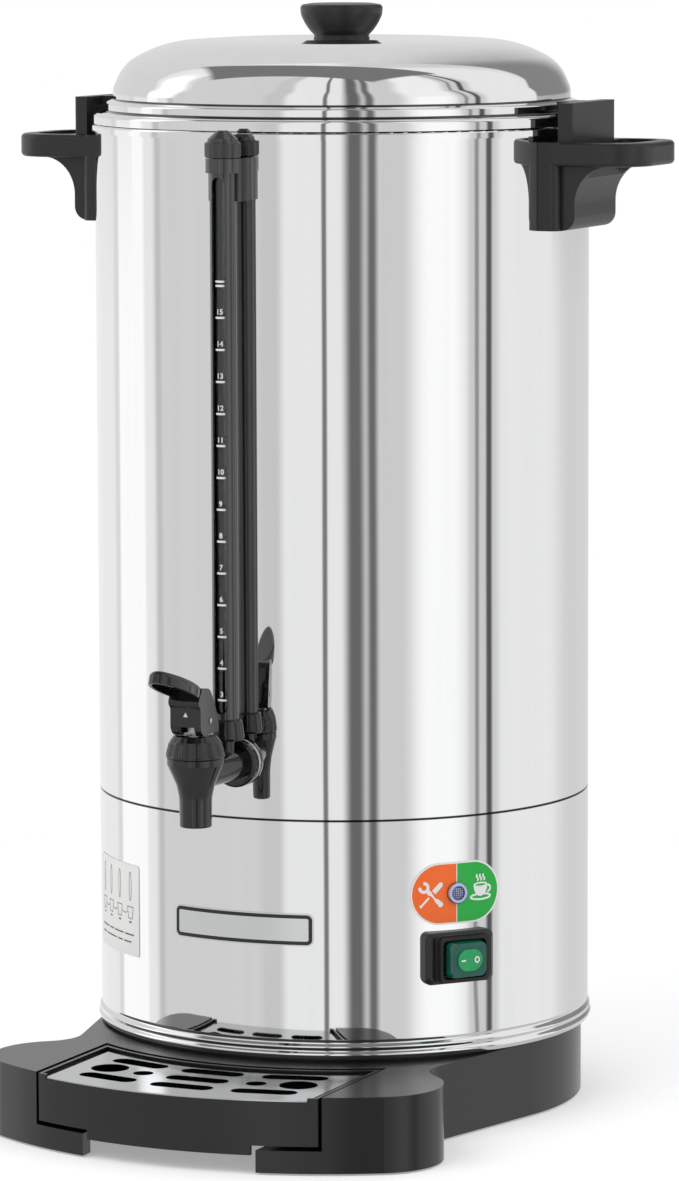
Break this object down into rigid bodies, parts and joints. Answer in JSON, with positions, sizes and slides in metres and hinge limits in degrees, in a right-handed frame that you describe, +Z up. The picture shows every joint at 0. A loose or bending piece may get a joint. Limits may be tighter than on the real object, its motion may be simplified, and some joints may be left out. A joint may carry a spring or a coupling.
{
  "type": "coffee urn",
  "caption": "Double-walled stainless percolator urn with lever tap, sight-glass level gauge, lift-off lid, side handles, rocker switch and pull-out drip tray.",
  "frame": {"origin": "on the body axis at the floor, under the rubber feet", "axes": "+Z up, the tap and drip tray face -Y, the handles lie on +X and -X"},
  "size_m": [0.404, 0.4118, 0.6456],
  "materials": {
    "polished_steel": "mirror-polished stainless steel sheet",
    "satin_steel": "satin stainless steel",
    "black_plastic": "black heat-resistant plastic, fine satin grain",
    "gloss_black": "black moulded plastic, glossy",
    "clear_glass": "clear glass tube with white printed scale",
    "silicone": "translucent white silicone",
    "black_rubber": "matt black rubber",
    "fastener_steel": "bright stainless screws, pin and spring wire",
    "brass": "machined brass",
    "aluminium": "bare aluminium",
    "phenolic": "dark phenolic moulding",
    "cream_ceramic": "unglazed cream ceramic",
    "switch_green": "dark green translucent rocker with a bright green middle",
    "lamp_white": "milky lamp lens",
    "lamp_bezel": "bright metal rim",
    "panel_print": "printed film, orange and green halves with a white border",
    "badge": "bare satin aluminium plate",
    "side_print": "pale film with plain rules"
  },
  "bodies": {
    "urn": {"outer_shell": "polished_steel", "lower_band": "polished_steel", "inner_tank": "satin_steel", "bottom_plate": "satin_steel", "handle_left": "black_plastic", "handle_right": "black_plastic", "handle_screws": "fastener_steel", "tap_body": "gloss_black", "tap_washer": "silicone", "tank_washer": "silicone", "tap_nut": "brass", "tap_bonnet": "gloss_black", "gauge_glass": "clear_glass", "gauge_guard": "gloss_black", "gauge_nut": "gloss_black", "gauge_seals": "silicone", "gauge_bracket": "gloss_black", "bracket_screw": "fastener_steel", "lamp_bezel": "lamp_bezel", "lamp_lens": "lamp_white", "panel_label": "panel_print", "badge_plate": "badge", "side_label": "side_print", "switch_bezel": "black_plastic", "switch_boot": "black_rubber", "switch_body": "phenolic", "base_ring": "black_plastic", "rubber_feet": "black_rubber", "base_screws": "fastener_steel", "base_nuts": "fastener_steel", "cable_gland": "black_plastic", "gland_nut": "black_plastic", "brew_heater": "aluminium", "warming_ring": "aluminium", "element_clamp": "satin_steel", "clamp_studs": "fastener_steel", "thermostat": "phenolic", "dry_boil_cutout": "cream_ceramic", "terminal_block": "cream_ceramic"},
    "lid_knob": {"lid_knob": "black_plastic", "knob_screw": "fastener_steel", "knob_washer": "fastener_steel"},
    "lid": {"lid_shell": "polished_steel", "lid_locating_ring": "satin_steel"},
    "tap_stem": {"tap_stem": "fastener_steel", "seat_cup": "silicone", "lever_pin": "fastener_steel", "stem_spring": "fastener_steel"},
    "tap_lever": {"tap_lever": "gloss_black"},
    "gauge_cap": {"gauge_cap": "gloss_black"},
    "rocker": {"rocker": "switch_green"},
    "percolator": {"percolator_tube": "satin_steel"},
    "basket": {"brew_basket": "satin_steel"},
    "basket_cover": {"basket_cover": "satin_steel"},
    "drip_tray": {"drip_tray": "black_plastic"},
    "drip_grille": {"drip_grille": "polished_steel"},
    "reset_button": {"reset_button": "phenolic"}
  },
  "joints": [
    {"name": "lid_lift", "type": "slide", "parent": "urn", "child": "lid_knob", "axis": [0, 0, 1], "range_m": [0, 0.15]},
    {"name": "lid_turn", "type": "hinge", "parent": "lid_knob", "child": "lid", "pos_m": [0, 0, 0.6], "axis": [0, 0, 1], "range_deg": [0, 40]},
    {"name": "stem_lift", "type": "slide", "parent": "urn", "child": "tap_stem", "axis": [0, 0, 1], "range_m": [0, 0.0024], "deforming": ["stem_spring"]},
    {"name": "lever_tilt", "type": "hinge", "parent": "tap_stem", "child": "tap_lever", "pos_m": [0, -0.201, 0.2484], "axis": [1, 0, 0], "range_deg": [0, 25], "stiffness_Nm_per_rad": 0.02, "springref_deg": -11.46},
    {"name": "gauge_cap_turn", "type": "hinge", "parent": "urn", "child": "gauge_cap", "pos_m": [0, -0.161, 0.565], "axis": [0, 0, 1], "range_deg": [0, 360]},
    {"name": "rocker_tilt", "type": "hinge", "parent": "urn", "child": "rocker", "pos_m": [0.11563, -0.09397, 0.103], "axis": [0, 0, 1], "range_deg": [-12, 0]},
    {"name": "percolator_lift", "type": "slide", "parent": "urn", "child": "percolator", "axis": [0, 0, 1], "range_m": [0, 0.03]},
    {"name": "basket_lift", "type": "slide", "parent": "percolator", "child": "basket", "axis": [0, 0, 1], "range_m": [0, 0.025]},
    {"name": "basket_cover_lift", "type": "slide", "parent": "basket", "child": "basket_cover", "axis": [0, 0, 1], "range_m": [0, 0.02]},
    {"name": "drip_tray_slide", "type": "slide", "parent": "urn", "child": "drip_tray", "axis": [0, -1, 0], "range_m": [0, 0.11]},
    {"name": "drip_grille_lift", "type": "slide", "parent": "drip_tray", "child": "drip_grille", "axis": [0, 0, 1], "range_m": [0, 0.08]},
    {"name": "reset_button_press", "type": "slide", "parent": "urn", "child": "reset_button", "axis": [0, 0, 1], "range_m": [0, 0.0015], "stiffness_N_per_m": 300, "springref_m": -0.002}
  ],
  "couplings": [
    {"joint": "stem_lift", "follows": "lever_tilt", "m_per_rad": 0.0051}
  ]
}
